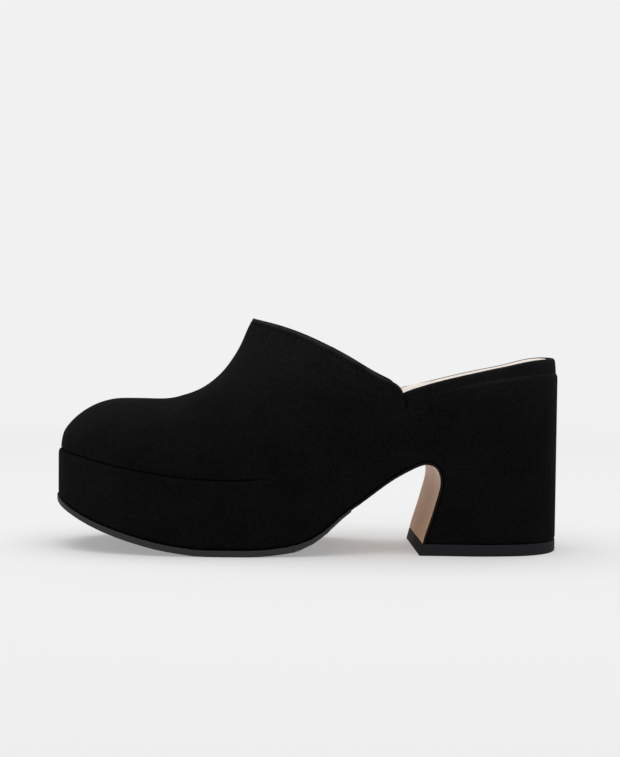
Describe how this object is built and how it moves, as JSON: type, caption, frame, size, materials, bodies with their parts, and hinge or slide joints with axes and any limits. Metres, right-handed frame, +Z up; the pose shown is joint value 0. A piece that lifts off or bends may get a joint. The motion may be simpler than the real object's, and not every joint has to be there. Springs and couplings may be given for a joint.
{
  "type": "mule shoe",
  "caption": "Closed-toe platform clog mule for the left foot: suede vamp open at the back, covered platform and block heel in one, rubber tread and top lift.",
  "frame": {"origin": "middle of the shoe's box in length and width, on the floor that it stands on", "axes": "-X towards the toe, +X towards the heel, -Y the outer side of the left foot, +Y its inner side, +Z up"},
  "size_m": [0.2408, 0.0882, 0.1099],
  "materials": {
    "suede": "black suede with a short nap, matt",
    "tread_rubber": "black moulded rubber, matt",
    "top_lift_rubber": "black rubber, satin where it is trimmed",
    "breast_leather": "smooth natural tan leather, satin, with its edge dyed black",
    "sock_leather": "smooth cream lining leather, satin"
  },
  "bodies": {
    "root": {"upper": "suede", "sole_unit": "suede", "insole": "suede", "outsole": "tread_rubber", "top_lift": "top_lift_rubber", "breast_cover": "breast_leather", "sock": "sock_leather"}
  },
  "joints": []
}
